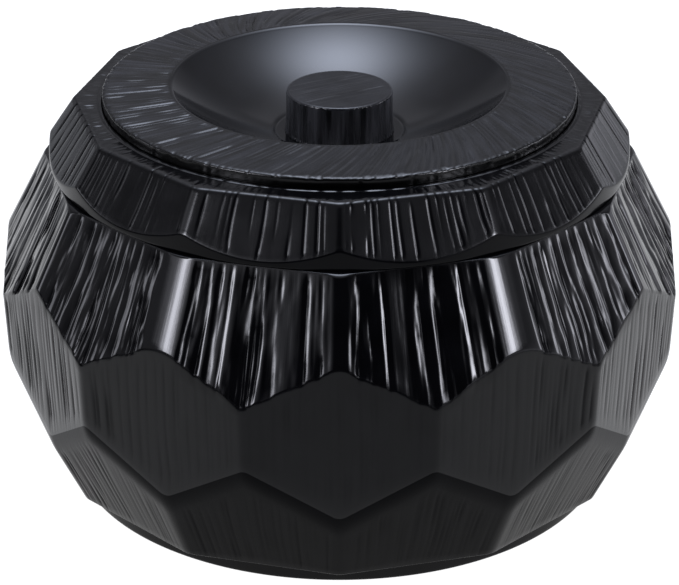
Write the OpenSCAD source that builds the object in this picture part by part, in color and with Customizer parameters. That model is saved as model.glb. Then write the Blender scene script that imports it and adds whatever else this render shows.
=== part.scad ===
// Lidded rice bowl: a round pot with twelve facets a row, a faceted drop-on
// lid with a raised top disc, and a knob sunk in a dish.
// Millimetres, +Z up. The origin is the centre of the underside.
// The middle of one belt facet faces -Y.

/* [Body] */
// Height of the body, from the table to its rim
body_h = 93.1; // [92.6:0.1:93.6]
// Distance from the axis to the belt facets, carried down to the table
belt_r = 90.3; // [90:0.1:91]
// How much the belt facets lean out, per millimetre of height
belt_lean = 0.042; // [0.035:0.001:0.05]
// Distance from the axis to the upper facets, at the rim
rim_r = 79.5; // [79.3:0.1:79.8]
// How much the upper facets close in, per millimetre of height
upper_lean = 0.505; // [0.49:0.005:0.52]
// Distance from the axis to the lower facets, carried down to the table
lower_r = 76.6; // [76.4:0.1:77]
// How much the lower facets open out, per millimetre of height
lower_lean = 0.465; // [0.455:0.005:0.475]
// Least wall of the body shell
shell_wall = 4.0; // [3.5:0.1:4.2]
// Radius of the cone that trims the ridges, where it meets the rim
rim_trim_r = 80.8; // [80.6:0.1:81.2]

/* [Foot plate] */
// Radius of the round foot plate
foot_r = 76.8; // [76.4:0.1:77]
// Height of the foot plate that shows under the facets
foot_h = 4.6; // [4.2:0.1:5]
// Radius of the recess in the underside
foot_recess_r = 69.0; // [67:0.5:70]
// Depth of the recess in the underside
foot_recess_h = 2.0; // [1.6:0.1:2.4]

/* [Inner bowl] */
// Inside radius of the mouth
mouth_r = 72.4; // [72.2:0.1:72.8]
// Inside radius just above the floor
bowl_floor_r = 62.0; // [58:0.5:64]
// Height of the inside floor above the table
bowl_floor_z = 12.0; // [11:0.5:14]
// Wall of the inner bowl
bowl_wall = 2.6; // [2.4:0.1:2.8]
// Outside radius of the lip that drops in the body rim
lip_r = 77.4; // [77.2:0.1:77.6]
// Thickness of the lip
lip_h = 2.0; // [1.8:0.1:2.4]

/* [Lid] */
// Radius of the smooth round band at the bottom of the lid
band_r = 80.4; // [80.2:0.1:80.6]
// Height of the band where the middle of a facet runs into it
band_low = 1.4; // [1.2:0.1:1.8]
// Height of the lid's ledge above the table
ledge_z = 108.9; // [108.6:0.1:109.2]
// Distance from the axis to the ledge's straight edges
ledge_r = 71.0; // [70.8:0.1:71.6]
// Radius of the raised disc
disc_r = 65.3; // [65:0.1:65.6]
// Height of the disc's outer edge above the table
disc_z = 112.2; // [112:0.1:112.6]
// How much the disc rises from its outer edge to the edge of the dish
ring_rise = 1.5; // [1.2:0.1:1.8]
// Radius of the dish at the disc's top
dish_r = 46.3; // [46:0.1:47]
// Height of the floor that the knob stands on
moat_z = 99.2; // [99:0.1:99.6]
// Radius of the flat floor round the knob
moat_r = 18.0; // [17.5:0.1:18.5]

/* [Knob] */
// Radius of the knob's top
knob_r = 14.7; // [14.5:0.1:14.9]
// How much wider the knob is at its foot
knob_flare = 0.5; // [0.3:0.1:0.6]
// Height of the knob's top above the table
knob_z = 111.1; // [110.6:0.1:111.6]

/* [Lid liner] */
// Outside radius of the collar that goes in the mouth
collar_r = 71.7; // [71.5:0.1:71.9]
// Thickness of the collar
collar_wall = 2.4; // [2:0.1:3]
// Depth of the collar below the rim
collar_h = 6.8; // [5:0.2:8]

/* [Hidden] */
$fn = 180;
count = 12;
step = 360 / count;
seat = 0.1;
lid_z = body_h + seat;
upper_r0 = rim_r + upper_lean * body_h;
lid_lean = (band_r - ledge_r) / (ledge_z - lid_z - band_low);
lid_r0 = ledge_r + lid_lean * ledge_z;
recess_z = ledge_z - 2.3;
recess_r = disc_r + 0.2;
drop_r = 57.0;
skirt_r = 75.0;
plate_t = 2.0;
dish_lip = 0.8;
lip_z = disc_z + ring_rise;
edge_r = dish_r - 0.8;
edge_z = lip_z - dish_lip;
low_r = moat_r + 0.5;
low_z = moat_z + 0.5;
dish_cz = (edge_r * edge_r - low_r * low_r + edge_z * edge_z - low_z * low_z) / (2 * (edge_z - low_z));
dish_R = sqrt(low_r * low_r + (dish_cz - low_z) * (dish_cz - low_z));
dish_wall = 3.2;
moat_wall = 2.4;
tenon_r = 6.0;
plug_r = 71.0;
plug_z = 7.0;

// Everything outside one flat face: the face is r = r0 + lean * z.
module beyond(r0, lean) {
    translate([r0, 0, 0])
        rotate([0, atan(lean), 0])
            translate([0, -150, -150])
                cube([300, 300, 300]);
}

// One row of flat faces, the first turned by the angle first.
module row_cut(r0, lean, first) {
    for (i = [0 : count - 1])
        rotate([0, 0, first + i * step])
            beyond(r0, lean);
}

module foot_plate() {
    color([0.035, 0.035, 0.04])
        rotate_extrude()
            polygon([
                [0, foot_recess_h],
                [foot_recess_r - 1, foot_recess_h],
                [foot_recess_r, foot_recess_h - 1],
                [foot_recess_r, 0],
                [foot_r - 0.5, 0],
                [foot_r, 0.5],
                [foot_r, foot_h],
                [plug_r, foot_h],
                [plug_r, plug_z],
                [0, plug_z]
            ]);
}

module body_shell() {
    color([0.03, 0.03, 0.035])
        difference() {
            rotate_extrude()
                polygon([
                    [0, foot_h],
                    [belt_r + 12, foot_h],
                    [belt_r + 12, 60],
                    [rim_trim_r + 18, body_h - 12],
                    [rim_trim_r, body_h],
                    [0, body_h]
                ]);
            row_cut(lower_r, lower_lean, step / 2);
            row_cut(belt_r, belt_lean, 0);
            row_cut(upper_r0, -upper_lean, step / 2);
            rotate_extrude()
                polygon([
                    [0, -1],
                    [plug_r + 0.05, -1],
                    [plug_r + 0.05, plug_z],
                    [lower_r + lower_lean * 10 - shell_wall - 1.2, 10],
                    [lower_r + lower_lean * 30 - shell_wall - 0.8, 30],
                    [belt_r - shell_wall + 1.2, 38],
                    [belt_r - shell_wall + 1.2, 60],
                    [81, body_h - 9.5],
                    [mouth_r + bowl_wall + 0.6, body_h - 8],
                    [mouth_r + bowl_wall + 0.6, body_h - lip_h],
                    [lip_r + 0.05, body_h - lip_h],
                    [lip_r + 0.05, body_h + 1],
                    [0, body_h + 1]
                ]);
        }
}

module inner_bowl() {
    color([0.03, 0.03, 0.035])
        difference() {
            rotate_extrude()
                union() {
                    polygon([
                        [0, bowl_floor_z - 3],
                        [bowl_floor_r - 9, bowl_floor_z - 3],
                        [bowl_floor_r + bowl_wall, bowl_floor_z + 9],
                        [mouth_r + bowl_wall + 0.5, body_h - 11],
                        [mouth_r + bowl_wall + 0.5, body_h - lip_h],
                        [lip_r, body_h - lip_h],
                        [lip_r, body_h],
                        [0, body_h]
                    ]);
                    translate([bowl_floor_r - 9, bowl_floor_z + 9])
                        circle(r = 9 + bowl_wall);
                }
            rotate_extrude()
                union() {
                    polygon([
                        [0, bowl_floor_z],
                        [bowl_floor_r - 9, bowl_floor_z],
                        [bowl_floor_r, bowl_floor_z + 9],
                        [mouth_r, body_h - 10],
                        [mouth_r, body_h + 1],
                        [0, body_h + 1]
                    ]);
                    translate([bowl_floor_r - 9, bowl_floor_z + 9])
                        circle(r = 9);
                }
        }
}

module lid_shell() {
    color([0.03, 0.03, 0.035])
        difference() {
            rotate_extrude()
                polygon([
                    [0, lid_z],
                    [band_r - 0.5, lid_z],
                    [band_r, lid_z + 0.5],
                    [band_r, ledge_z],
                    [0, ledge_z]
                ]);
            row_cut(lid_r0, -lid_lean, step / 2);
            rotate_extrude()
                polygon([
                    [0, lid_z - 1],
                    [skirt_r, lid_z - 1],
                    [skirt_r, lid_z + 3.2],
                    [ledge_r - 0.5, recess_z - 3.5],
                    [drop_r, recess_z - 3.5],
                    [drop_r, recess_z],
                    [recess_r, recess_z],
                    [recess_r, ledge_z + 1],
                    [0, ledge_z + 1]
                ]);
        }
}

module lid_top() {
    color([0.04, 0.042, 0.048])
        difference() {
            union() {
                rotate_extrude()
                    polygon([
                        [0, recess_z],
                        [disc_r, recess_z],
                        [disc_r, disc_z - 0.4],
                        [disc_r - 0.4, disc_z],
                        [dish_r - 0.1, lip_z],
                        [0, lip_z]
                    ]);
                intersection() {
                    translate([0, 0, dish_cz])
                        sphere(r = dish_R + dish_wall);
                    translate([0, 0, moat_z - moat_wall])
                        cylinder(r = drop_r - 0.3, h = recess_z - moat_z + moat_wall + 1);
                }
            }
            intersection() {
                translate([0, 0, dish_cz])
                    sphere(r = dish_R);
                translate([0, 0, moat_z])
                    cylinder(r = edge_r, h = 40);
            }
            translate([0, 0, edge_z])
                cylinder(r1 = edge_r, r2 = dish_r + 0.2, h = dish_lip + 0.2);
            translate([0, 0, moat_z])
                cylinder(r = moat_r, h = 8);
            translate([0, 0, 80])
                cylinder(r = tenon_r + 0.05, h = 30);
        }
}

module lid_knob() {
    color([0.045, 0.047, 0.052])
        rotate_extrude()
            polygon([
                [0, moat_z - 3],
                [tenon_r, moat_z - 3],
                [tenon_r, moat_z],
                [knob_r + knob_flare, moat_z],
                [knob_r + knob_flare * 0.4, moat_z + 3],
                [knob_r, knob_z - 0.5],
                [knob_r - 0.5, knob_z],
                [0, knob_z]
            ]);
}

module lid_liner() {
    color([0.03, 0.03, 0.035])
        rotate_extrude()
            polygon([
                [0, lid_z],
                [collar_r - collar_wall, lid_z],
                [collar_r - collar_wall, body_h - collar_h + 0.4],
                [collar_r - collar_wall + 0.4, body_h - collar_h],
                [collar_r - 0.6, body_h - collar_h],
                [collar_r, body_h - collar_h + 0.6],
                [collar_r, lid_z],
                [skirt_r - 0.05, lid_z],
                [skirt_r - 0.05, lid_z + plate_t],
                [0, lid_z + plate_t]
            ]);
}

foot_plate();
body_shell();
inner_bowl();
lid_shell();
lid_top();
lid_knob();
lid_liner();
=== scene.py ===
import bpy, math
import numpy as np
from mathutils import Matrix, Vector


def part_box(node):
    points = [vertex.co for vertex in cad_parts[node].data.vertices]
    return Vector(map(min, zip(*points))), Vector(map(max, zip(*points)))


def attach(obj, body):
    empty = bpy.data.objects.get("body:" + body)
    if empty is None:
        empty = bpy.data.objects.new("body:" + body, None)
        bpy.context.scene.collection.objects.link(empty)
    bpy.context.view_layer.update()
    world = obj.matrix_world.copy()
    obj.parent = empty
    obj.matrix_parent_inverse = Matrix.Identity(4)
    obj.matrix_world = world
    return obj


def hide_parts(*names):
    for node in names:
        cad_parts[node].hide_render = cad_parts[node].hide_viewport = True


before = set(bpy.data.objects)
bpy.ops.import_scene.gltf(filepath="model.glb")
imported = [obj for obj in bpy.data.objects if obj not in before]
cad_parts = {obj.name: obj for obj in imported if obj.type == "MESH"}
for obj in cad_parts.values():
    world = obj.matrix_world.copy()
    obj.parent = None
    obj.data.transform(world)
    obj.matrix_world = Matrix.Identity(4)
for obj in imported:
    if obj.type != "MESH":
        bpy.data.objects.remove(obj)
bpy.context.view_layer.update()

MM = 0.001
TAU = 2 * math.pi

# ---------------------------------------------------------------- sizes, mm
def top_of(n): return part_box(n)[1].z * 1000
def wide_of(n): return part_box(n)[1].x * 1000
body_h = top_of("body_shell")
belt_r, belt_lean = 90.3, 0.042
rim_r, upper_lean = 79.5, 0.505
lower_r, lower_lean = 76.6, 0.465
upper_r0 = rim_r + upper_lean * body_h
foot_r, foot_h = wide_of("foot_plate"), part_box("body_shell")[0].z * 1000
trim_r, trim_lean = 81.4, 1.5
lid_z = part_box("lid_shell")[0].z * 1000
ledge_z = top_of("lid_shell")
ledge_r, band_r, band_low = 71.0, 80.4, 1.4
lid_lean = (band_r - ledge_r) / (ledge_z - lid_z - band_low)
lid_r0 = ledge_r + lid_lean * ledge_z
recess_z, recess_r, drop_r, skirt_r = ledge_z - 2.3, 65.5, 57.0, 75.0
disc_r, lip_z, dish_r = 65.3, top_of("lid_top"), 46.3
disc_z = lip_z - 1.5
moat_z, moat_r = 99.2, 18.0
knob_r, knob_flare, knob_z = 14.7, 0.5, top_of("lid_knob")
mouth_r, bowl_wall, lip_r, lip_h = 72.4, 2.6, 77.4, 2.0
bowl_floor_r, bowl_floor_z = 62.0, 12.0
collar_r, collar_wall, collar_h, plate_t = 71.7, 2.4, 6.8, 2.0
plug_r, plug_z = 71.0, 7.0
recess_foot_r, recess_foot_h = 69.0, 2.0

# ---------------------------------------------------------------- noise
def lattice(seed, nu, nv):
    return np.random.RandomState(seed).uniform(-1, 1, (nu, nv))

def noise(u, v, nu, nv, seed):
    """Smooth value noise, periodic in u over 0..1 with nu cells; v in cells, clamped to nv."""
    g = lattice(seed, nu, nv + 2)
    x = (u % 1.0) * nu
    y = np.clip(v, 0, nv - 1e-6)
    i, j = np.floor(x).astype(int), np.floor(y).astype(int)
    fx, fy = x - i, y - j
    fx, fy = fx * fx * (3 - 2 * fx), fy * fy * (3 - 2 * fy)
    a, b = g[i % nu, j], g[(i + 1) % nu, j]
    c, d = g[i % nu, j + 1], g[(i + 1) % nu, j + 1]
    return (a * (1 - fx) + b * fx) * (1 - fy) + (c * (1 - fx) + d * fx) * fy

def planks(u, v, length, seed, wmin, wmax, gw, depth, tilt, crown, wobble=0.35, fade=0.6, vcell=9.0, vspan=60.0, sharp=None):
    """Carved strokes side by side. u runs across them in mm (periodic over length), v along them in mm. Height in mm."""
    rs = np.random.RandomState(seed)
    edges = [0.0]
    while edges[-1] < length:
        edges.append(edges[-1] + wmin + (wmax - wmin) * rs.uniform() ** 1.6)
    edges = np.array(edges) * (length / edges[-1])
    n = len(edges) - 1
    d_e = depth * (0.25 + 0.75 * rs.uniform(size=n + 1)); d_e[-1] = d_e[0]
    g_e = gw * (0.7 + 0.8 * rs.uniform(size=n + 1)); g_e[-1] = g_e[0]
    t_c = tilt * rs.uniform(-1, 1, n)
    c_c = crown * rs.uniform(0.2, 1, n)
    nv = int(vspan / vcell) + 2
    uu = u + wobble * noise(u / length, v / (vcell * 2), max(8, int(length / 9)), nv, seed + 1)
    uu = uu % length
    k = np.clip(np.searchsorted(edges, uu, side="right") - 1, 0, n - 1)
    w = edges[k + 1] - edges[k]
    t = (uu - edges[k]) / w
    dl, dr = t * w, (1 - t) * w
    m = noise(u / length, v / vcell, max(8, int(length / 2.2)), nv, seed + 2)
    live = np.clip(0.5 + m * fade * 1.3, 0, 1)
    if sharp:
        h = -live * (d_e[k] * np.exp(-dl / g_e[k] / sharp[0]) + d_e[k + 1] * np.exp(-dr / g_e[k + 1] / sharp[1]))
    else:
        h = -live * (d_e[k] * np.exp(-(dl / g_e[k] / 1.35) ** 2) + d_e[k + 1] * np.exp(-(dr / g_e[k + 1] / 0.6) ** 2))
    s = np.clip(dl / (0.18 * w), 0, 1) * np.clip(dr / (0.18 * w), 0, 1)
    h += t_c[k] * (t - 0.5) * w * s
    h -= c_c[k] * (2 * t - 1) ** 2
    return h

# ---------------------------------------------------------------- mesh helpers
def grid_mesh(name, P, loop, slots, rowslot, pole_a=False, pole_b=False, coarse=None, grain_and_groove_shade=None):
    """P is (rows, columns, 3) in mm, closed round the columns. loop closes the rows too; a pole ends them in one point.
    Rows marked coarse use every third column."""
    rows, cols = P.shape[:2]
    coarse = np.zeros(rows, bool) if coarse is None else np.asarray(coarse, bool)
    fine_j = np.arange(cols); slow_j = np.arange(0, cols, 3)
    verts, shade, first, total = [], [], [], 0
    for i in range(rows):
        v = P[i, ::3] if coarse[i] else P[i]
        verts.append(v); first.append(total); total += len(v)
        if grain_and_groove_shade is not None: shade.append(grain_and_groove_shade[i, ::3] if coarse[i] else grain_and_groove_shade[i])
    quads, qm, tris, tm = [], [], [], []
    for i in range(rows if loop else rows - 1):
        k = (i + 1) % rows
        a, b = first[i], first[k]
        if coarse[i] == coarse[k]:
            n = cols // 3 if coarse[i] else cols
            j = np.arange(n); jn = (j + 1) % n
            quads.append(np.stack([a + j, a + jn, b + jn, b + j], 1)); qm.append(np.full(n, rowslot[i]))
            continue
        n = cols // 3
        j = np.arange(n); jn = (j + 1) % n
        f0, f1, f2, f3 = 3 * j, 3 * j + 1, 3 * j + 2, (3 * j + 3) % cols
        if coarse[i]:
            t = [(a + j, b + f1, b + f0), (a + j, b + f2, b + f1), (a + j, a + jn, b + f2), (a + jn, b + f3, b + f2)]
        else:
            t = [(a + f0, a + f1, b + j), (a + f1, a + f2, b + j), (a + f2, b + jn, b + j), (a + f2, a + f3, b + jn)]
        for x in t:
            tris.append(np.stack(x, 1)); tm.append(np.full(n, rowslot[i]))
    for pole, i in ((pole_a, 0), (pole_b, rows - 1)):
        if not pole: continue
        n = cols // 3 if coarse[i] else cols
        j = np.arange(n); jn = (j + 1) % n
        verts.append(np.array([[0, 0, P[i, :, 2].mean()]]))
        o = np.full(n, total)
        tris.append(np.stack([o, first[i] + jn, first[i] + j] if i == 0 else [o, first[i] + j, first[i] + jn], 1))
        tm.append(np.full(n, rowslot[i])); total += 1
        if grain_and_groove_shade is not None: shade.append(np.array([grain_and_groove_shade[i].mean()]))
    V = np.concatenate(verts).astype(np.float32) * MM
    quads = np.concatenate(quads)
    me = bpy.data.meshes.new(name)
    nt = sum(len(t) for t in tris)
    me.vertices.add(len(V)); me.vertices.foreach_set("co", V.ravel())
    loops = np.concatenate([quads.ravel()] + [t.ravel() for t in tris]).astype(np.int32)
    me.loops.add(len(loops)); me.loops.foreach_set("vertex_index", loops)
    me.polygons.add(len(quads) + nt)
    starts = np.concatenate([np.arange(len(quads)) * 4, len(quads) * 4 + np.arange(nt) * 3]).astype(np.int32)
    me.polygons.foreach_set("loop_start", starts)
    me.polygons.foreach_set("material_index", np.concatenate(qm + tm).astype(np.int32))
    me.polygons.foreach_set("use_smooth", np.ones(len(quads) + nt, bool))
    me.update(calc_edges=True); me.validate()
    for m in slots: me.materials.append(m)
    # per-point attribute: groove depth for painted groove shade on the body and lid, grain tone on the lid top's ring
    if grain_and_groove_shade is not None:
        at = me.attributes.new("grain_and_groove_shade", "FLOAT", "POINT")
        at.data.foreach_set("value", np.concatenate(shade).astype(np.float32))
    ob = bpy.data.objects.new(name, me)
    bpy.context.scene.collection.objects.link(ob)
    return ob

def path(points, rads, segs, arcn=4):
    """A path of straight runs with rounded corners, worked out for every column at once.
    points: list of (r, z) scalars or arrays. rads[i] rounds point i by a setback in mm. segs[i] is the number of steps on run i.
    Returns rows of (r, z), the run each row is on, and its share along that run."""
    n = max(np.size(a) for p in points for a in p)
    pts = [np.stack([np.broadcast_to(np.asarray(p[0], float), (n,)), np.broadcast_to(np.asarray(p[1], float), (n,))], 1) for p in points]
    k = len(pts)
    start, end, arcs = [None] * k, [None] * k, [None] * k
    for i in range(k):
        if i in (0, k - 1) or not rads[i]:
            start[i] = end[i] = pts[i]; arcs[i] = []
            continue
        d1, d2 = pts[i - 1] - pts[i], pts[i + 1] - pts[i]
        l1, l2 = np.linalg.norm(d1, axis=1), np.linalg.norm(d2, axis=1)
        t = np.minimum(rads[i], 0.47 * np.minimum(l1, l2))[:, None]
        a, b = pts[i] + d1 / l1[:, None] * t, pts[i] + d2 / l2[:, None] * t
        start[i], end[i] = a, b
        arcs[i] = [(1 - s) ** 2 * a + 2 * s * (1 - s) * pts[i] + s * s * b for s in np.linspace(0, 1, arcn + 1)[1:-1]]
    rows, run, share = [pts[0]], [0], [0.0]
    for i in range(k - 1):
        a, b = end[i], start[i + 1]
        if i and rads[i]:
            rows.append(a); run.append(i); share.append(0.0)
        for s in np.linspace(0, 1, segs[i] + 1)[1:]:
            rows.append(a + (b - a) * s); run.append(i); share.append(s)
        for q, r in enumerate(arcs[i + 1]):
            rows.append(r); run.append(i if q < len(arcs[i + 1]) / 2 else i + 1); share.append(1.0 if q < len(arcs[i + 1]) / 2 else 0.0)
    R = np.array([r[:, 0] for r in rows]); Z = np.array([r[:, 1] for r in rows])
    return R, Z, np.array(run), np.array(share)

def to_xyz(R, Z, phi):
    """phi is the azimuth from the front (-Y), positive towards +X."""
    return np.stack([R * np.sin(phi), -R * np.cos(phi), Z], -1)

def normals_of(P, loop):
    du = np.roll(P, -1, 1) - np.roll(P, 1, 1)
    if loop:
        dv = np.roll(P, -1, 0) - np.roll(P, 1, 0)
    else:
        dv = np.empty_like(P)
        dv[1:-1] = P[2:] - P[:-2]; dv[0] = P[1] - P[0]; dv[-1] = P[-1] - P[-2]
    n = np.cross(du, dv)
    return n / np.maximum(np.linalg.norm(n, axis=-1, keepdims=True), 1e-9)

def per_ridge(phi, first, values):
    """The value of the nearest ridge; ridge i lies between faces i - 1 and i of a row whose first face is at first."""
    step = TAU / 12
    return np.asarray(values, float)[np.round((phi - first + step / 2) / step).astype(int) % 12]

def facet(phi, first, half):
    """1 / cos to the nearest of twelve flat faces, softly blended at the ridges over half mm to each side."""
    step = TAU / 12
    out = []
    for i in range(12):
        d = (phi - first - i * step + math.pi) % TAU - math.pi
        out.append(np.where(np.abs(d) < 1.2, 1.0 / np.cos(np.clip(d, -1.2, 1.2)), 9.0))
    out = np.sort(np.array(out), 0)
    a, b = out[0], out[1]
    k = 0.555 * per_ridge(phi, first, half) / 92.0
    h = np.maximum(k - (b - a), 0) / k
    return a - h * h * k / 4

def smooth(a, b, x):
    t = np.clip((x - a) / (b - a), 0, 1)
    return t * t * (3 - 2 * t)

# ---------------------------------------------------------------- materials
def material(name, base, rough, rough_var=0.04, ior=1.3, coat=0.0, bump=0.0, bump_scale=900.0, stretch=(1, 1, 1), tint=0.3, scale=120.0, polar=False, polar_r=90.0, fine=0.0, streak=None, painted_groove_shade=0.0):
    m = bpy.data.materials.new(name); m.use_nodes = True
    nt = m.node_tree; nt.nodes.clear()
    N = nt.nodes.new; L = nt.links.new
    out = N("ShaderNodeOutputMaterial"); bs = N("ShaderNodeBsdfPrincipled")
    L(bs.outputs[0], out.inputs[0])
    bs.inputs["IOR"].default_value = ior
    bs.inputs["Coat Weight"].default_value = coat
    bs.inputs["Coat Roughness"].default_value = 0.05
    tc = N("ShaderNodeTexCoord")
    mp = N("ShaderNodeMapping"); mp.inputs["Scale"].default_value = stretch
    L(tc.outputs["Object"], mp.inputs[0])
    n1 = N("ShaderNodeTexNoise"); n1.inputs["Scale"].default_value = scale; n1.inputs["Detail"].default_value = 4
    L(mp.outputs[0], n1.inputs["Vector"])
    cr = N("ShaderNodeValToRGB")
    lo = [c * (1 - tint) for c in base]; hi = [c * (1 + tint) for c in base]
    cr.color_ramp.elements[0].position = 0.3; cr.color_ramp.elements[1].position = 0.7
    cr.color_ramp.elements[0].color = (*lo, 1); cr.color_ramp.elements[1].color = (*hi, 1)
    L(n1.outputs["Fac"], cr.inputs[0])
    if streak:
        # the ground-in grain: paler and darker strokes in the lacquer, along the carved ones
        ga = N("ShaderNodeAttribute"); ga.attribute_name = "grain_and_groove_shade"
        gm = N("ShaderNodeMapRange"); gm.inputs["From Min"].default_value = -1.0; gm.inputs["From Max"].default_value = 1.0
        gm.inputs["To Min"].default_value = streak[0]; gm.inputs["To Max"].default_value = streak[1]
        L(ga.outputs["Fac"], gm.inputs[0])
        vs = N("ShaderNodeVectorMath"); vs.operation = "SCALE"
        L(cr.outputs[0], vs.inputs[0]); L(gm.outputs[0], vs.inputs["Scale"]); L(vs.outputs[0], bs.inputs["Base Color"])
    else:
        L(cr.outputs[0], bs.inputs["Base Color"])
    if painted_groove_shade:
        # painted shade: the specular level drops where the carved grooves are deepest, darkening their bottoms
        gc = N("ShaderNodeAttribute"); gc.attribute_name = "grain_and_groove_shade"
        gs = N("ShaderNodeMapRange"); gs.inputs["To Min"].default_value = 0.5; gs.inputs["To Max"].default_value = 0.5 * (1 - painted_groove_shade)
        L(gc.outputs["Fac"], gs.inputs["Value"]); L(gs.outputs[0], bs.inputs["Specular IOR Level"])
    mr = N("ShaderNodeMapRange"); mr.inputs["To Min"].default_value = rough - rough_var; mr.inputs["To Max"].default_value = rough + rough_var
    mr.inputs["From Min"].default_value = 0.3; mr.inputs["From Max"].default_value = 0.7
    L(n1.outputs["Fac"], mr.inputs[0]); L(mr.outputs[0], bs.inputs["Roughness"])
    if bump or fine:
        b = N("ShaderNodeBump"); b.inputs["Distance"].default_value = 0.0001; b.inputs["Strength"].default_value = max(bump, 0.001)
        n2 = N("ShaderNodeTexNoise"); n2.inputs["Scale"].default_value = bump_scale; n2.inputs["Detail"].default_value = 2
        L(tc.outputs["Object"], n2.inputs["Vector"])
        L(n2.outputs["Fac"], b.inputs["Height"])
        last = b
        if fine:
            # fine grain that runs up and down the faces: noise on (angle round the axis, height)
            sx = N("ShaderNodeSeparateXYZ"); L(tc.outputs["Object"], sx.inputs[0])
            at = N("ShaderNodeMath"); at.operation = "ARCTAN2"; L(sx.outputs[0], at.inputs[0]); L(sx.outputs[1], at.inputs[1])
            ml = N("ShaderNodeMath"); ml.operation = "MULTIPLY"; ml.inputs[1].default_value = polar_r * MM; L(at.outputs[0], ml.inputs[0])
            mz = N("ShaderNodeMath"); mz.operation = "MULTIPLY"; mz.inputs[1].default_value = 0.035; L(sx.outputs[2], mz.inputs[0])
            cb = N("ShaderNodeCombineXYZ"); L(ml.outputs[0], cb.inputs[0]); L(mz.outputs[0], cb.inputs[1])
            n3 = N("ShaderNodeTexNoise"); n3.inputs["Scale"].default_value = 900.0; n3.inputs["Detail"].default_value = 3
            L(cb.outputs[0], n3.inputs["Vector"])
            b2 = N("ShaderNodeBump"); b2.inputs["Distance"].default_value = 0.00025; b2.inputs["Strength"].default_value = fine
            L(n3.outputs["Fac"], b2.inputs["Height"]); L(b.outputs[0], b2.inputs["Normal"])
            last = b2
        L(last.outputs[0], bs.inputs["Normal"])
    return m

BLACK = (0.0008, 0.0008, 0.0010)
# the groove-depth keyword on the grained lacquers below darkens their groove bottoms as painted shade
m_body = material("lacquer_body", BLACK, 0.085, 0.02, fine=0.07, polar_r=92, bump=0.05, painted_groove_shade=0.94)
m_belt = material("lacquer_belt", (0.0010, 0.0010, 0.0012), 0.18, 0.03, ior=1.265, fine=0.06, polar_r=92, bump=0.05, painted_groove_shade=0.9)
# painted shade: the lower faces get a low IOR so they reflect less, standing in for the shadow on the floor beneath the
# bowl
m_lower_painted_shade = material("lacquer_lower_painted_shade", BLACK, 0.15, 0.03, ior=1.115, fine=0.07, polar_r=92, bump=0.05, painted_groove_shade=0.8)
m_band = material("lacquer_band", BLACK, 0.17, 0.03, ior=1.17, bump=0.04, bump_scale=300)
m_smooth = material("lacquer_smooth", BLACK, 0.13, 0.02, bump=0.04, bump_scale=300)
m_rim = material("rim_gloss", BLACK, 0.16, 0.03, bump=0.04)
m_hidden = material("unlacquered_inside", (0.012, 0.012, 0.013), 0.45, 0.05, bump=0.1)
m_inner = material("inner_gloss", (0.0045, 0.0045, 0.0050), 0.14, 0.03, ior=1.4, bump=0.05, bump_scale=260)
m_foot_side = material("foot_gloss", BLACK, 0.20, 0.04, ior=1.22, bump=0.06, tint=0.4)
m_foot = material("foot_satin", (0.0055, 0.0055, 0.0060), 0.34, 0.05, ior=1.4, bump=0.15)
m_lid = material("lacquer_lid", BLACK, 0.13, 0.03, fine=0.07, polar_r=76, bump=0.05, painted_groove_shade=0.95)
m_top = material("lacquer_top", (0.0100, 0.0104, 0.0125), 0.22, 0.04, bump=0.06, streak=(0.0, 0.62))
m_dish = material("dish_gloss", (0.0010, 0.0011, 0.0015), 0.10, 0.015, bump=0.02, bump_scale=200)
m_knob = material("lacquer_knob", (0.0050, 0.0052, 0.0062), 0.18, 0.04, bump=0.06)
m_knob_side = material("lacquer_knob_side", (0.0110, 0.0112, 0.0125), 0.26, 0.06, tint=0.90, stretch=(1, 1, 0.10), scale=380.0, bump=0.08)
m_liner = material("liner_gloss", (0.0045, 0.0045, 0.0050), 0.16, 0.03, ior=1.4, bump=0.05, bump_scale=260)

def add(ob, body, node):
    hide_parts(node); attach(ob, body)
    return ob

# ---------------------------------------------------------------- body shell
COLS = 1440
phi = np.arange(COLS) * TAU / COLS
step = TAU / 12
# ridge i of the upper and lower rows is at i * 30 degrees from the front, going round to the right
soft_up = np.array([2.4, 6.0, 1.6, 2.6, 1.8, 3.0, 2.2, 3.4, 1.6, 2.4, 1.5, 5.6])
soft_lo = np.array([1.8, 2.0, 1.4, 2.2, 1.6, 2.0, 1.5, 2.3, 1.7, 1.9, 1.5, 2.0])
U = facet(phi, step / 2, soft_up)
W = facet(phi, step / 2, soft_lo)
B = facet(phi, 0.0, np.full(12, 1.3))
z_ub = (upper_r0 * U - belt_r * B) / (upper_lean * U + belt_lean * B)
z_lb = (belt_r * B - lower_r * W) / (lower_lean * W - belt_lean * B)
z_tr = np.minimum((trim_r + trim_lean * body_h - upper_r0 * U) / (trim_lean - upper_lean * U), body_h - 0.35)
r_rim = np.minimum((upper_r0 - upper_lean * body_h) * U, trim_r)
cav = lambda z: lower_r + lower_lean * z - 5.0
pts = [(plug_r + 0.05, plug_z), (plug_r + 0.05, foot_h), ((lower_r + lower_lean * foot_h) * W, foot_h),
       ((belt_r + belt_lean * z_lb) * B, z_lb), ((belt_r + belt_lean * z_ub) * B, z_ub),
       ((upper_r0 - upper_lean * z_tr) * U, z_tr), (r_rim, body_h),
       (lip_r + 0.05, body_h), (lip_r + 0.05, body_h - lip_h), (mouth_r + bowl_wall + 0.6, body_h - lip_h),
       (mouth_r + bowl_wall + 0.6, body_h - 8), (81.0, body_h - 9.5), (belt_r - 2.8, 60.0), (belt_r - 2.8, 38.0), (cav(30) + 0.2, 30.0), (cav(10) - 0.2, 10.0), (plug_r + 0.05, plug_z)]
rads = [0, 0.3, 0.4, 4.2, 0.8, 0.9, 0.6, 0.25, 0, 0, 0, 0, 0, 0, 0, 0, 0]
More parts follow.
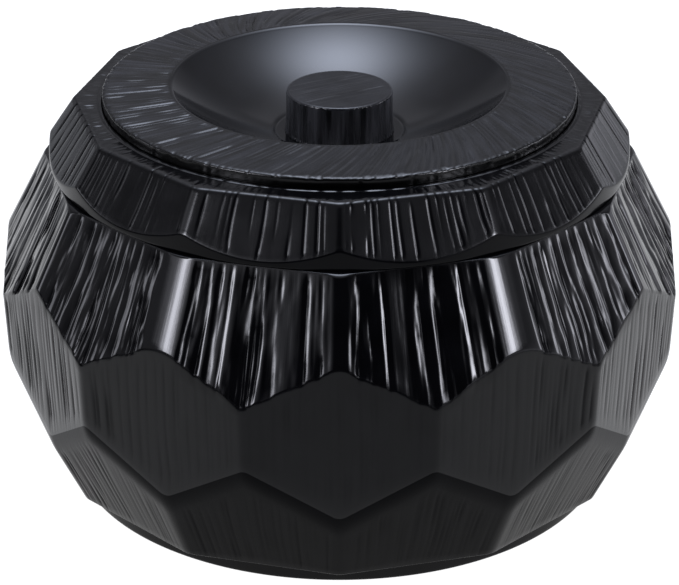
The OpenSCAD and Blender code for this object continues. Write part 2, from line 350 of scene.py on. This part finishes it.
segs = [1, 3, 10, 9, 14, 1, 1, 1, 1, 1, 1, 2, 1, 1, 1, 1]
R, Z, run, share = path(pts, rads, segs, 4)
R, Z, run, share = R[:-1], Z[:-1], run[:-1], share[:-1]
P = to_xyz(R, Z, phi)
Nn = normals_of(P, True)
arc = phi * 92.0
LEN = TAU * 92.0
rd_u = np.abs(((phi) % step + step / 2) % step - step / 2) * 92.0      # mm from a ridge of the upper and lower rows
rd_b = np.abs(((phi + step / 2) % step + step / 2) % step - step / 2) * 92.0
def on(i, a=0.0, b=0.0):
    """Mask on run i that fades over shares a and b at its two ends."""
    m = (run == i).astype(float)
    if a: m = m * np.clip(share / a, 0, 1)
    if b: m = m * np.clip((1 - share) / b, 0, 1)
    return m[:, None]
phi2 = np.broadcast_to(phi, R.shape)
arc2 = np.broadcast_to(arc, R.shape)
def wrap(a): return (a + math.pi) % TAU - math.pi
calm = np.clip(0.62 + 1.1 * noise(phi / TAU, 0 * phi, 74, 2, 17), 0.12, 1.0)           # some stretches are cut more lightly
calm *= 1.0 - 0.35 * np.exp(-(wrap(phi - math.radians(14)) / math.radians(9)) ** 2)
up = planks(arc2, Z, LEN, 11, 1.3, 4.6, 0.34, 0.40, 0.05, 0.045, wobble=0.9, fade=1.1, vcell=6, vspan=110, sharp=(1.9, 1.0)) * calm
up += planks(arc2, Z, LEN, 14, 3.0, 9.0, 0.52, 0.34, 0.05, 0.05, wobble=1.1, fade=0.8, vcell=10, vspan=110, sharp=(1.2, 1.8))
up += (0.065 * noise(arc2 / LEN, Z / 7.0, 260, 16, 19) * calm + 0.03 * noise(arc2 / LEN, Z / 3.0, 520, 36, 20)) * (1.0 - 0.7 * np.exp(-(wrap(phi - math.radians(15)) / math.radians(13)) ** 4))[None, :]
nick = noise(arc2 / LEN, Z / 2.6, 300, 42, 18)
up += -0.10 * smooth(0.30, 0.75, nick) * calm
up *= 1.0 + 0.7 * np.exp(-((Z - z_ub[None, :] - 1.5) / 2.2) ** 2)                        # deeper where a stroke ends at the belt
edge_up = per_ridge(phi, step / 2, soft_up)
up *= (1.0 + 0.45 * (1.0 - smooth(0.42, 0.62, np.abs(wrap(phi)))) - 0.40 * np.exp(-(wrap(phi - math.radians(11)) / math.radians(9)) ** 4))[None, :]
up *= (smooth(0.0, 1.0, (rd_u - edge_up * 0.9) / 0.9) * (1.0 + 0.6 * smooth(0.9, 1.3, np.abs(wrap(phi)))))[None, :]
be = planks(arc2, Z, LEN, 21, 1.2, 3.4, 0.42, 0.10, 0.02, 0.02, wobble=0.6, fade=0.6, vcell=12, vspan=110)
be *= 0.45 + 3.0 * smooth(0.35, 1.15, np.abs(wrap(phi)))[None, :]                     # the front faces are almost smooth
be *= smooth(0.6, 2.2, rd_b)[None, :]
lo = planks(arc2, Z, LEN, 31, 1.1, 3.4, 0.45, 0.18, 0.04, 0.02, wobble=0.5, fade=0.6, vcell=9, vspan=110)
lo *= (smooth(0.8, 2.6, rd_u) * (0.5 + 0.5 * smooth(0.5, 1.0, np.abs(wrap(phi)))))[None, :]
turn = np.zeros(len(run)); full = np.where((run == 3) & (share >= 0.999))[0]; turn[full[1:]] = 0.4
H = up * (on(4, 0.0, 0.05) * np.where(share <= 0, 0.75, 1.0)[:, None] + turn[:, None]) + be * on(3, 0.06, 0.06) + lo * on(2, 0.05, 0.08)
reach = 0.24 + 0.18 * smooth(0.5, 0.75, np.abs(wrap(phi)))
# painted shade mask: groove depth, stored in the grain attribute, lowers the lacquer's specular level in the grooves
cav = np.clip(-H / np.where((run == 4)[:, None], reach[None, :], np.where(run == 3, 0.17, 0.16)[:, None]), 0, 1) ** 1.1
P = P + Nn * H[..., None]
rowslot = np.where(run == 4, 0, np.where(run == 2, 4, np.where(run == 3, 1, np.where(np.isin(run, (5, 6, 7)), 2, 3))))
body = grid_mesh("body_shell_grained", P, True, [m_body, m_belt, m_rim, m_hidden, m_lower_painted_shade], rowslot, coarse=(run < 1) | (run > 7), grain_and_groove_shade=cav)
add(body, "bowl", "body_shell")

# ---------------------------------------------------------------- plain turned pieces
def turned(name, pts, rads, segs, mats, slotfn, cols=288, arcn=4, loop=False, pole_a=False, pole_b=False):
    ph = np.arange(cols) * TAU / cols
    full = [(np.full(cols, float(a)), np.full(cols, float(b))) for a, b in pts]
    R, Z, run, share = path(full, rads, segs, arcn)
    if loop: R, Z, run, share = R[:-1], Z[:-1], run[:-1], share[:-1]
    P = to_xyz(R, Z, ph)
    return grid_mesh(name, P, loop, mats, np.array([slotfn(i) for i in run]), pole_a, pole_b)

foot = turned("foot_plate_turned",
    [(2, plug_z), (plug_r, plug_z), (plug_r, foot_h), (foot_r, foot_h), (foot_r, 0), (recess_foot_r, 0), (recess_foot_r - 0.6, recess_foot_h), (2, recess_foot_h)],
    [0, 0.5, 0.2, 0.4, 0.8, 0.5, 0.5, 0], [8, 2, 2, 4, 4, 2, 12], [m_foot, m_foot_side], lambda i: 1 if i in (2, 3) else 0, pole_a=True, pole_b=True)
add(foot, "bowl", "foot_plate")

fr, fz = bowl_floor_r, bowl_floor_z
inner = turned("inner_bowl_turned",
    [(2, fz - 3), (fr - 6, fz - 3), (fr + bowl_wall, fz + 9), (mouth_r + bowl_wall + 0.5, body_h - 11), (mouth_r + bowl_wall + 0.5, body_h - lip_h), (lip_r, body_h - lip_h), (lip_r, body_h),
     (mouth_r, body_h), (mouth_r, body_h - 10), (fr, fz + 6), (fr - 2, fz), (2, fz)],
    [0, 6, 6, 1, 0, 0, 0.3, 1.2, 6, 8, 9, 0], [8, 4, 12, 2, 1, 1, 2, 3, 16, 3, 14], [m_hidden, m_inner], lambda i: 1 if i >= 6 else 0, arcn=6, pole_a=True, pole_b=True)
add(inner, "bowl", "inner_bowl")

liner = turned("lid_liner_turned",
    [(2, lid_z), (collar_r - collar_wall, lid_z), (collar_r - collar_wall, body_h - collar_h), (collar_r, body_h - collar_h), (collar_r, lid_z), (skirt_r - 0.05, lid_z), (skirt_r - 0.05, lid_z + plate_t), (2, lid_z + plate_t)],
    [0, 1.6, 0.5, 0.9, 0.3, 0.2, 0, 0], [16, 4, 3, 4, 2, 2, 8], [m_liner, m_hidden], lambda i: 1 if i >= 6 else 0, pole_a=True, pole_b=True)
add(liner, "lid", "lid_liner")

# ---------------------------------------------------------------- lid shell
soft_lid = np.array([1.6, 1.9, 1.3, 1.8, 1.4, 1.7, 1.5, 1.9, 1.4, 1.7, 1.3, 1.8])
UL = facet(phi, step / 2, soft_lid)
z_b = (lid_r0 * UL - band_r) / (lid_lean * UL)
lift = 0.27 + 0.07 * noise(phi / TAU, 0 * phi, 260, 2, 47)
pts = [(recess_r, recess_z), (drop_r, recess_z), (drop_r, recess_z - 3.5), (ledge_r - 0.5, recess_z - 3.5), (skirt_r, lid_z + 3.2), (skirt_r, lid_z),
       (band_r - 0.05, lid_z), (np.full(COLS, band_r), z_b), (ledge_r * UL, ledge_z), (recess_r + 1.2, ledge_z), (recess_r + 0.6, ledge_z + lift), (recess_r, ledge_z + lift), (recess_r, recess_z)]
rads = [0, 0, 0, 0, 0, 0.3, 0.6, 0.5, 0.8, 0.3, 0.3, 0.15, 0]
segs = [1, 1, 1, 2, 1, 1, 4, 18, 5, 1, 1, 2]
R, Z, run, share = path(pts, rads, segs, 4)
R, Z, run, share = R[:-1], Z[:-1], run[:-1], share[:-1]
P = to_xyz(R, Z, phi)
Nn = normals_of(P, True)
rd_l = np.abs((phi % step + step / 2) % step - step / 2) * 76.0
arc2 = np.broadcast_to(phi * 76.0, R.shape); LEN2 = TAU * 76.0
H = planks(arc2, Z - 90, LEN2, 41, 1.5, 5.6, 0.36, 0.30, 0.012, 0.016, wobble=0.5, fade=0.8, vcell=7, vspan=30, sharp=(0.9, 0.5))
H *= smooth(0.2, 1.2, rd_l)[None, :] * 0.6 + 0.4
Hl = planks(arc2, R, LEN2, 45, 1.3, 3.6, 0.42, 0.30, 0.06, 0.04, wobble=0.4, fade=0.7, vcell=8, vspan=90)
corner = (run == 8).astype(float)[:, None] * np.clip(1 - share / 0.3, 0, 1)[:, None]
H = H * on(7, 0.04) + H * corner + Hl * on(8, 0.3, 0.1)
# painted shade mask: groove depth on the lid, stored in the grain attribute, lowers the specular level in the grooves
cav = np.clip((-H - 0.01) / 0.11, 0, 1)
P = P + Nn * H[..., None]
rowslot = np.where(run == 7, 0, np.where(np.isin(run, (5, 6, 8, 9, 10)), 1, 2))
rowslot = np.where(run == 6, 3, rowslot)
lid = grid_mesh("lid_shell_grained", P, True, [m_lid, m_smooth, m_hidden, m_band], rowslot, coarse=(run < 5) & (R.std(1) < 0.01), grain_and_groove_shade=cav)
add(lid, "lid", "lid_shell")

# ---------------------------------------------------------------- lid top: grained ring and smooth dish
dish_lip = 0.8
edge_r, edge_z, low_r, low_z = dish_r - 0.8, lip_z - dish_lip, moat_r + 0.5, moat_z + 0.5
dcz = (edge_r ** 2 - low_r ** 2 + edge_z ** 2 - low_z ** 2) / (2 * (edge_z - low_z))
dish_R = math.hypot(low_r, dcz - low_z)
def dish_z(r): return dcz - math.sqrt(dish_R ** 2 - r * r)
inner_r = 6.05
prof = [(inner_r, moat_z - 2.4), (inner_r, moat_z), (12.0, moat_z), (moat_r - 0.7, moat_z), (moat_r - 0.3, moat_z + 0.04), (moat_r, moat_z + 0.18), (moat_r + 0.25, moat_z + 0.36), (low_r, low_z)]
n_d = 30
for i in range(1, n_d + 1):
    r = low_r + (edge_r - 0.1 - low_r) * i / n_d
    prof.append((r, dish_z(r)))
mark_dish = len(prof)
rise = (lip_z - disc_z) / (disc_r - dish_r)
def ring_z(r): return disc_z + rise * (disc_r - r)
prof += [(dish_r - 0.55, lip_z - 0.60), (dish_r - 0.15, lip_z - 0.25), (dish_r + 0.4, lip_z - 0.09)]
n_r = 39
ring0 = len(prof)
for i in range(n_r + 1):
    r = dish_r + 1.0 + (disc_r - 1.0 - dish_r - 1.0) * i / n_r
    prof.append((r, ring_z(r)))
ring1 = len(prof)
prof += [(disc_r - 0.55, disc_z - 0.04), (disc_r - 0.24, disc_z - 0.20), (disc_r - 0.06, disc_z - 0.48), (disc_r, disc_z - 0.85)]
side0 = len(prof)
for i in range(1, 6): prof.append((disc_r, disc_z - 0.85 - (disc_z - 0.85 - recess_z) * i / 6))
prof += [(disc_r, recess_z), (drop_r - 0.3, recess_z), (drop_r - 0.3, recess_z - 1.0)]
def out_z(r): return dcz - math.sqrt((dish_R + 3.2) ** 2 - r * r)
for r in (43.6, 40.0, 36.0, 31.0, 26.0, 21.0): prof.append((r, max(out_z(r), moat_z - 2.4)))
prof.append((14.0, moat_z - 2.4))
prof = np.array(prof)
R = np.broadcast_to(prof[:, :1], (len(prof), COLS)).copy(); Z = np.broadcast_to(prof[:, 1:], (len(prof), COLS)).copy()
P = to_xyz(R, Z, phi)
rows = np.arange(len(prof))
ring = ((rows >= ring0) & (rows < ring1 + 2)).astype(float)
# grain lines on the ring: traced back to the ring's inner edge along a turning direction field
ph_b = np.broadcast_to(phi, R.shape).copy()
steps = 24
s_all = np.log(np.maximum(R, dish_r) / dish_r)
for _ in range(steps):
    beta = np.radians(np.interp(np.degrees(wrap(ph_b)), [-180, -150, -120, -90, -45, 0, 50, 90, 120, 150, 180], [47, 30, 12, 3, 18, 32, 24, 42, 57, 55, 47]))
    ph_b += np.tan(beta) * s_all / steps
uu = (ph_b * 56.0) % (TAU * 56.0)
gr = planks(uu, (R - dish_r), TAU * 56.0, 51, 0.8, 3.0, 0.40, 0.28, 0.085, 0.06, wobble=0.25, fade=0.9, vcell=5, vspan=26)
tone = noise(uu / (TAU * 56.0), (R - dish_r) / 11.0, 300, 4, 57) * 0.7 + noise(uu / (TAU * 56.0), (R - dish_r) / 7.0, 620, 5, 58) * 0.8
tone = np.clip(tone * (1.5 - 0.9 * np.exp(-(wrap(phi - math.radians(12)) / math.radians(42)) ** 2))[None, :] - 0.25, -1, 1)
tone = np.where((rows >= ring0)[:, None] & (rows <= ring1)[:, None], tone, -1.0)
gr = np.minimum(gr, 0.02)
edge = np.clip((R - dish_r - 0.6) / 0.8, 0, 1) * (0.55 + 0.45 * np.clip((disc_r - 1.0 - R) / 1.0, 0, 1))
Z += gr * ring[:, None] * edge
bead = smooth(0.15, 0.60, noise(uu[ring1] / (TAU * 56.0), 0 * phi, 250, 2, 63)) * 0.16
Z -= ((rows >= ring1 - 1) & (rows < side0))[:, None] * bead[None, :]
side = ((rows >= side0 - 1) & (rows < side0 + 5)).astype(float)
wob = 0.10 * noise(phi / TAU, 0 * phi, 150, 2, 61) + 0.06 * noise(phi / TAU, 0 * phi, 320, 2, 62)
R += side[:, None] * np.minimum(wob, 0.0)[None, :] * 1.2
P = to_xyz(R, Z, phi)
rowslot = np.where((rows >= ring0 - 1) & (rows < side0 + 5), 0, np.where((rows >= 1) & (rows < ring0 - 1), 1, 2))
top = grid_mesh("lid_top_grained", P, True, [m_top, m_dish, m_hidden], rowslot, coarse=(rows < ring0 - 2) | (rows > side0 + 6), grain_and_groove_shade=tone)
add(top, "lid", "lid_top")

# ---------------------------------------------------------------- knob
KC = 480
kp = np.arange(KC) * TAU / KC
n_top = 34
kr = [(1.0 + (knob_r - 0.9 - 1.0) * i / n_top, knob_z) for i in range(n_top + 1)]
kt = len(kr)
kr += [(knob_r - 0.45, knob_z - 0.06), (knob_r - 0.12, knob_z - 0.28), (knob_r, knob_z - 0.7)]
ks = len(kr)
n_s = 14
for i in range(1, n_s + 1):
    t = i / n_s; z = knob_z - 0.7 + (moat_z + 0.9 - knob_z + 0.7) * t
    kr.append((knob_r + knob_flare * 0.55 * t ** 3, z))
ke = len(kr)
kr += [(knob_r + knob_flare * 0.7, moat_z + 0.45), (knob_r + knob_flare, moat_z + 0.02), (6.0, moat_z + 0.01), (6.0, moat_z - 3.0), (2.0, moat_z - 3.0)]
kr = np.array(kr)
R = np.broadcast_to(kr[:, :1], (len(kr), KC)).copy(); Z = np.broadcast_to(kr[:, 1:], (len(kr), KC)).copy()
rows = np.arange(len(kr))
x, y = R * np.sin(kp), -R * np.cos(kp)
a = math.radians(30)
across = -x * math.sin(a) + y * math.cos(a); along = x * math.cos(a) + y * math.sin(a)
gt = planks(across + 40, along + 20, 80.0, 71, 0.7, 2.4, 0.36, 0.16, 0.085, 0.05, wobble=0.3, fade=0.9, vcell=7, vspan=40)
Z += gt * (rows < kt)[:, None] * np.clip((knob_r - 0.7 - R) / 0.8, 0, 1)
gs = planks(np.broadcast_to(kp * 15.0, R.shape), Z - 98, TAU * 15.0, 72, 0.9, 3.0, 0.40, 0.55, 0.10, 0.08, wobble=0.3, fade=0.45, vcell=6, vspan=18)
gs = np.minimum(gs, 0)
R += gs * ((rows >= ks - 1) & (rows < ke + 1))[:, None]
P = to_xyz(R, Z, kp)
knob = grid_mesh("lid_knob_grained", P, False, [m_knob, m_knob_side], np.where(rows >= ks - 1, 1, 0), pole_a=True, pole_b=True)
add(knob, "lid", "lid_knob")

# ---------------------------------------------------------------- orientation of faces
import bmesh
for ob in (body, foot, inner, liner, lid, top, knob):
    bm = bmesh.new(); bm.from_mesh(ob.data)
    bmesh.ops.recalc_face_normals(bm, faces=bm.faces)
    bm.to_mesh(ob.data); bm.free()

# ---------------------------------------------------------------- stage
def floor():
    me = bpy.data.meshes.new("floor")
    s = 6.0
    me.from_pydata([(-s, -s, -0.0002), (s, -s, -0.0002), (s, s, -0.0002), (-s, s, -0.0002)], [], [(0, 1, 2, 3)])
    ob = bpy.data.objects.new("floor", me); bpy.context.scene.collection.objects.link(ob)
    m = bpy.data.materials.new("floor_painted_glow"); m.use_nodes = True
    b = m.node_tree.nodes["Principled BSDF"]
    b.inputs["Base Color"].default_value = (0.12, 0.12, 0.12, 1)
    b.inputs["Roughness"].default_value = 0.8
    b.inputs["Specular IOR Level"].default_value = 0.0
    b.inputs["Emission Color"].default_value = (1, 1, 1, 1)
    # painted light: the floor glows by emission, dimmed by 0.42 in front of the bowl beyond about 0.1 m as a painted
    # shadow
    tc = m.node_tree.nodes.new("ShaderNodeTexCoord"); sp = m.node_tree.nodes.new("ShaderNodeSeparateXYZ")
    m.node_tree.links.new(tc.outputs["Object"], sp.inputs[0])
    vl = m.node_tree.nodes.new("ShaderNodeVectorMath"); vl.operation = "NORMALIZE"
    m.node_tree.links.new(tc.outputs["Object"], vl.inputs[0])
    sn = m.node_tree.nodes.new("ShaderNodeSeparateXYZ"); m.node_tree.links.new(vl.outputs[0], sn.inputs[0])
    mr = m.node_tree.nodes.new("ShaderNodeMapRange"); mr.interpolation_type = "SMOOTHSTEP"
    mr.inputs["From Min"].default_value = -0.97; mr.inputs["From Max"].default_value = -0.55
    mr.inputs["To Min"].default_value = 1.0; mr.inputs["To Max"].default_value = 0.0
    m.node_tree.links.new(sn.outputs[1], mr.inputs["Value"])
    ln = m.node_tree.nodes.new("ShaderNodeVectorMath"); ln.operation = "LENGTH"
    m.node_tree.links.new(tc.outputs["Object"], ln.inputs[0])
    mf = m.node_tree.nodes.new("ShaderNodeMapRange"); mf.interpolation_type = "SMOOTHSTEP"
    mf.inputs["From Min"].default_value = 0.095; mf.inputs["From Max"].default_value = 0.16
    m.node_tree.links.new(ln.outputs["Value"], mf.inputs["Value"])
    mm = m.node_tree.nodes.new("ShaderNodeMath"); mm.operation = "MULTIPLY"
    m.node_tree.links.new(mr.outputs[0], mm.inputs[0]); m.node_tree.links.new(mf.outputs[0], mm.inputs[1])
    mx = m.node_tree.nodes.new("ShaderNodeMath"); mx.operation = "MULTIPLY_ADD"
    m.node_tree.links.new(mm.outputs[0], mx.inputs[0]); mx.inputs[1].default_value = -0.42; mx.inputs[2].default_value = 1.0
    # painted light: the glow fades to 0.22 between 0.46 and 0.95 m from the axis, a painted pool of light
    far = m.node_tree.nodes.new("ShaderNodeMapRange"); far.interpolation_type = "SMOOTHSTEP"
    far.inputs["From Min"].default_value = 0.46; far.inputs["From Max"].default_value = 0.95
    far.inputs["To Min"].default_value = 1.0; far.inputs["To Max"].default_value = 0.22
    m.node_tree.links.new(ln.outputs["Value"], far.inputs["Value"])
    my = m.node_tree.nodes.new("ShaderNodeMath"); my.operation = "MULTIPLY"
    m.node_tree.links.new(mx.outputs[0], my.inputs[0]); m.node_tree.links.new(far.outputs[0], my.inputs[1])
    m.node_tree.links.new(my.outputs[0], b.inputs["Emission Strength"])
    me.materials.append(m)
floor()

ROOM_LOW, ROOM_TOP, ROOM, ROOM_BACK = 0.60, 0.20, 0.27, 0.55
STRIP_R = (52.0, 6.0, 42.0, 1.1, 10.0)
STRIP_L = (51.0, 6.4, 32.0, 2.6, 36.0)
EDGE_R, EDGE_L = (101.0, 4.5, 11.0), (101.0, 4.5, 5.5)
BLOB = (80.0, 0.050, 17.0)
w = bpy.data.worlds.new("studio"); bpy.context.scene.world = w; w.use_nodes = True
nt = w.node_tree; nt.nodes.clear()
out = nt.nodes.new("ShaderNodeOutputWorld"); bg = nt.nodes.new("ShaderNodeBackground")
nt.links.new(bg.outputs[0], out.inputs[0])
tc = nt.nodes.new("ShaderNodeTexCoord"); sep = nt.nodes.new("ShaderNodeSeparateXYZ")
nt.links.new(tc.outputs["Generated"], sep.inputs[0])
X, Y, Zc = sep.outputs

def calc(op, a, b=None, c=None):
    n = nt.nodes.new("ShaderNodeMath"); n.operation = op
    for i, v in enumerate((a, b, c)):
        if v is None: continue
        if isinstance(v, (int, float)): n.inputs[i].default_value = v
        else: nt.links.new(v, n.inputs[i])
    return n.outputs[0]

def fade(v, a, b):
    """0 at a, 1 at b, eased."""
    n = nt.nodes.new("ShaderNodeMapRange"); n.interpolation_type = "SMOOTHSTEP"
    nt.links.new(v, n.inputs["Value"])
    lo, hi, t0, t1 = (a, b, 0.0, 1.0) if a < b else (b, a, 1.0, 0.0)
    n.inputs["From Min"].default_value = lo; n.inputs["From Max"].default_value = hi
    n.inputs["To Min"].default_value = t0; n.inputs["To Max"].default_value = t1
    return n.outputs[0]

def bell(v, mid, width):
    return calc("EXPONENT", calc("MULTIPLY", calc("POWER", calc("DIVIDE", calc("SUBTRACT", v, mid), width), 2.0), -1.0))

def toward(az, el):
    a, e = math.radians(az), math.radians(el)
    d = (math.sin(a) * math.cos(e), -math.cos(a) * math.cos(e), math.sin(e))
    n = nt.nodes.new("ShaderNodeVectorMath"); n.operation = "DOT_PRODUCT"
    nt.links.new(tc.outputs["Generated"], n.inputs[0]); n.inputs[1].default_value = d
    return n.outputs["Value"]

az = calc("MULTIPLY", calc("ARCTAN2", X, calc("MULTIPLY", Y, -1.0)), 180 / math.pi)
el = calc("MULTIPLY", calc("ARCSINE", Zc), 180 / math.pi)
# the room: brighter near the horizon and to the right, dark in front at eye height
room = calc("ADD", calc("MULTIPLY", calc("MULTIPLY", fade(el, 24.0, 6.0), fade(Y, 0.90, 0.72)), ROOM_LOW), ROOM)
room = calc("ADD", room, calc("MULTIPLY", calc("MULTIPLY", fade(el, 30.0, 40.0), fade(Y, 0.25, -0.25)), ROOM_TOP))
room = calc("ADD", room, calc("MULTIPLY", calc("MULTIPLY", fade(el, 20.0, 58.0), fade(Y, 0.0, 0.35)), ROOM_BACK))
wide = calc("ABSOLUTE", X)
wings = calc("MULTIPLY", calc("MULTIPLY", fade(el, 20.0, 26.0), fade(Y, 0.2, 0.5)), calc("MULTIPLY", fade(wide, 0.02, 0.14), fade(wide, 0.32, 0.20)))
room = calc("ADD", room, calc("MULTIPLY", wings, 0.22))
side = calc("ADD", 1.0, calc("MULTIPLY", calc("MULTIPLY", X, fade(el, 18.0, 4.0)), 0.95))
room = calc("MULTIPLY", room, side)
room = calc("MULTIPLY", room, calc("SUBTRACT", 1.0, calc("MULTIPLY", fade(toward(0, 13), 0.79, 0.87), 0.97)))
def strip(sign, mid, width, peak, skirt, inner):
    a = calc("MULTIPLY", az, float(sign))
    core = calc("MULTIPLY", bell(a, mid, width), peak)
    wide = calc("MULTIPLY", calc("MULTIPLY", fade(a, mid - inner, mid + 2), fade(a, 95.0, 60.0)), skirt)
    return calc("MULTIPLY", calc("ADD", core, wide), calc("MULTIPLY", fade(el, 16.5, 20.5), fade(el, 40.0, 31.0)))
total = calc("ADD", room, strip(1, STRIP_R[0], STRIP_R[1], STRIP_R[2], *STRIP_R[3:]))
total = calc("ADD", total, strip(-1, STRIP_L[0], STRIP_L[1], STRIP_L[2], *STRIP_L[3:]))
for sign, (mid, width, peak) in ((1, EDGE_R), (-1, EDGE_L)):
    edge = calc("MULTIPLY", bell(calc("MULTIPLY", az, float(sign)), mid, width), peak)
    total = calc("ADD", total, calc("MULTIPLY", edge, calc("MULTIPLY", fade(el, 1.0, 6.0), fade(el, 22.0, 15.0))))
blob = calc("MULTIPLY", calc("EXPONENT", calc("DIVIDE", calc("SUBTRACT", toward(180, BLOB[0]), 1.0), BLOB[1])), BLOB[2])
cn = nt.nodes.new("ShaderNodeCombineXYZ")
for k, tint in enumerate((0.88, 0.96, 1.16)):
    nt.links.new(calc("ADD", calc("MULTIPLY", blob, tint), calc("MULTIPLY", total, (0.97, 0.98, 1.09)[k])), cn.inputs[k])
nt.links.new(cn.outputs[0], bg.inputs[0])
bg.inputs[1].default_value = 1.0

# ---------------------------------------------------------------- camera
cam = bpy.data.cameras.new("cam"); cam_o = bpy.data.objects.new("cam", cam)
bpy.context.scene.collection.objects.link(cam_o)
e = math.radians(25.56); dist = 0.768
tgt = Vector((0, 0, 0.0489))
cam_o.location = tgt + Vector((0, -math.cos(e), math.sin(e))) * dist
cam_o.rotation_euler = (math.pi / 2 - e, 0, 0)
cam.sensor_width = 36.0
cam.lens = 36.0 * 2688.8 / 679.0
cam.clip_start, cam.clip_end = 0.01, 50
bpy.context.scene.camera = cam_o
bpy.context.scene.view_settings.view_transform = "Standard"
bpy.context.scene.view_settings.look = "None"

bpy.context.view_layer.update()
for ob in (body, foot, inner, liner, lid, top, knob):
    print("tris", ob.name, sum(len(p.vertices) - 2 for p in ob.data.polygons))
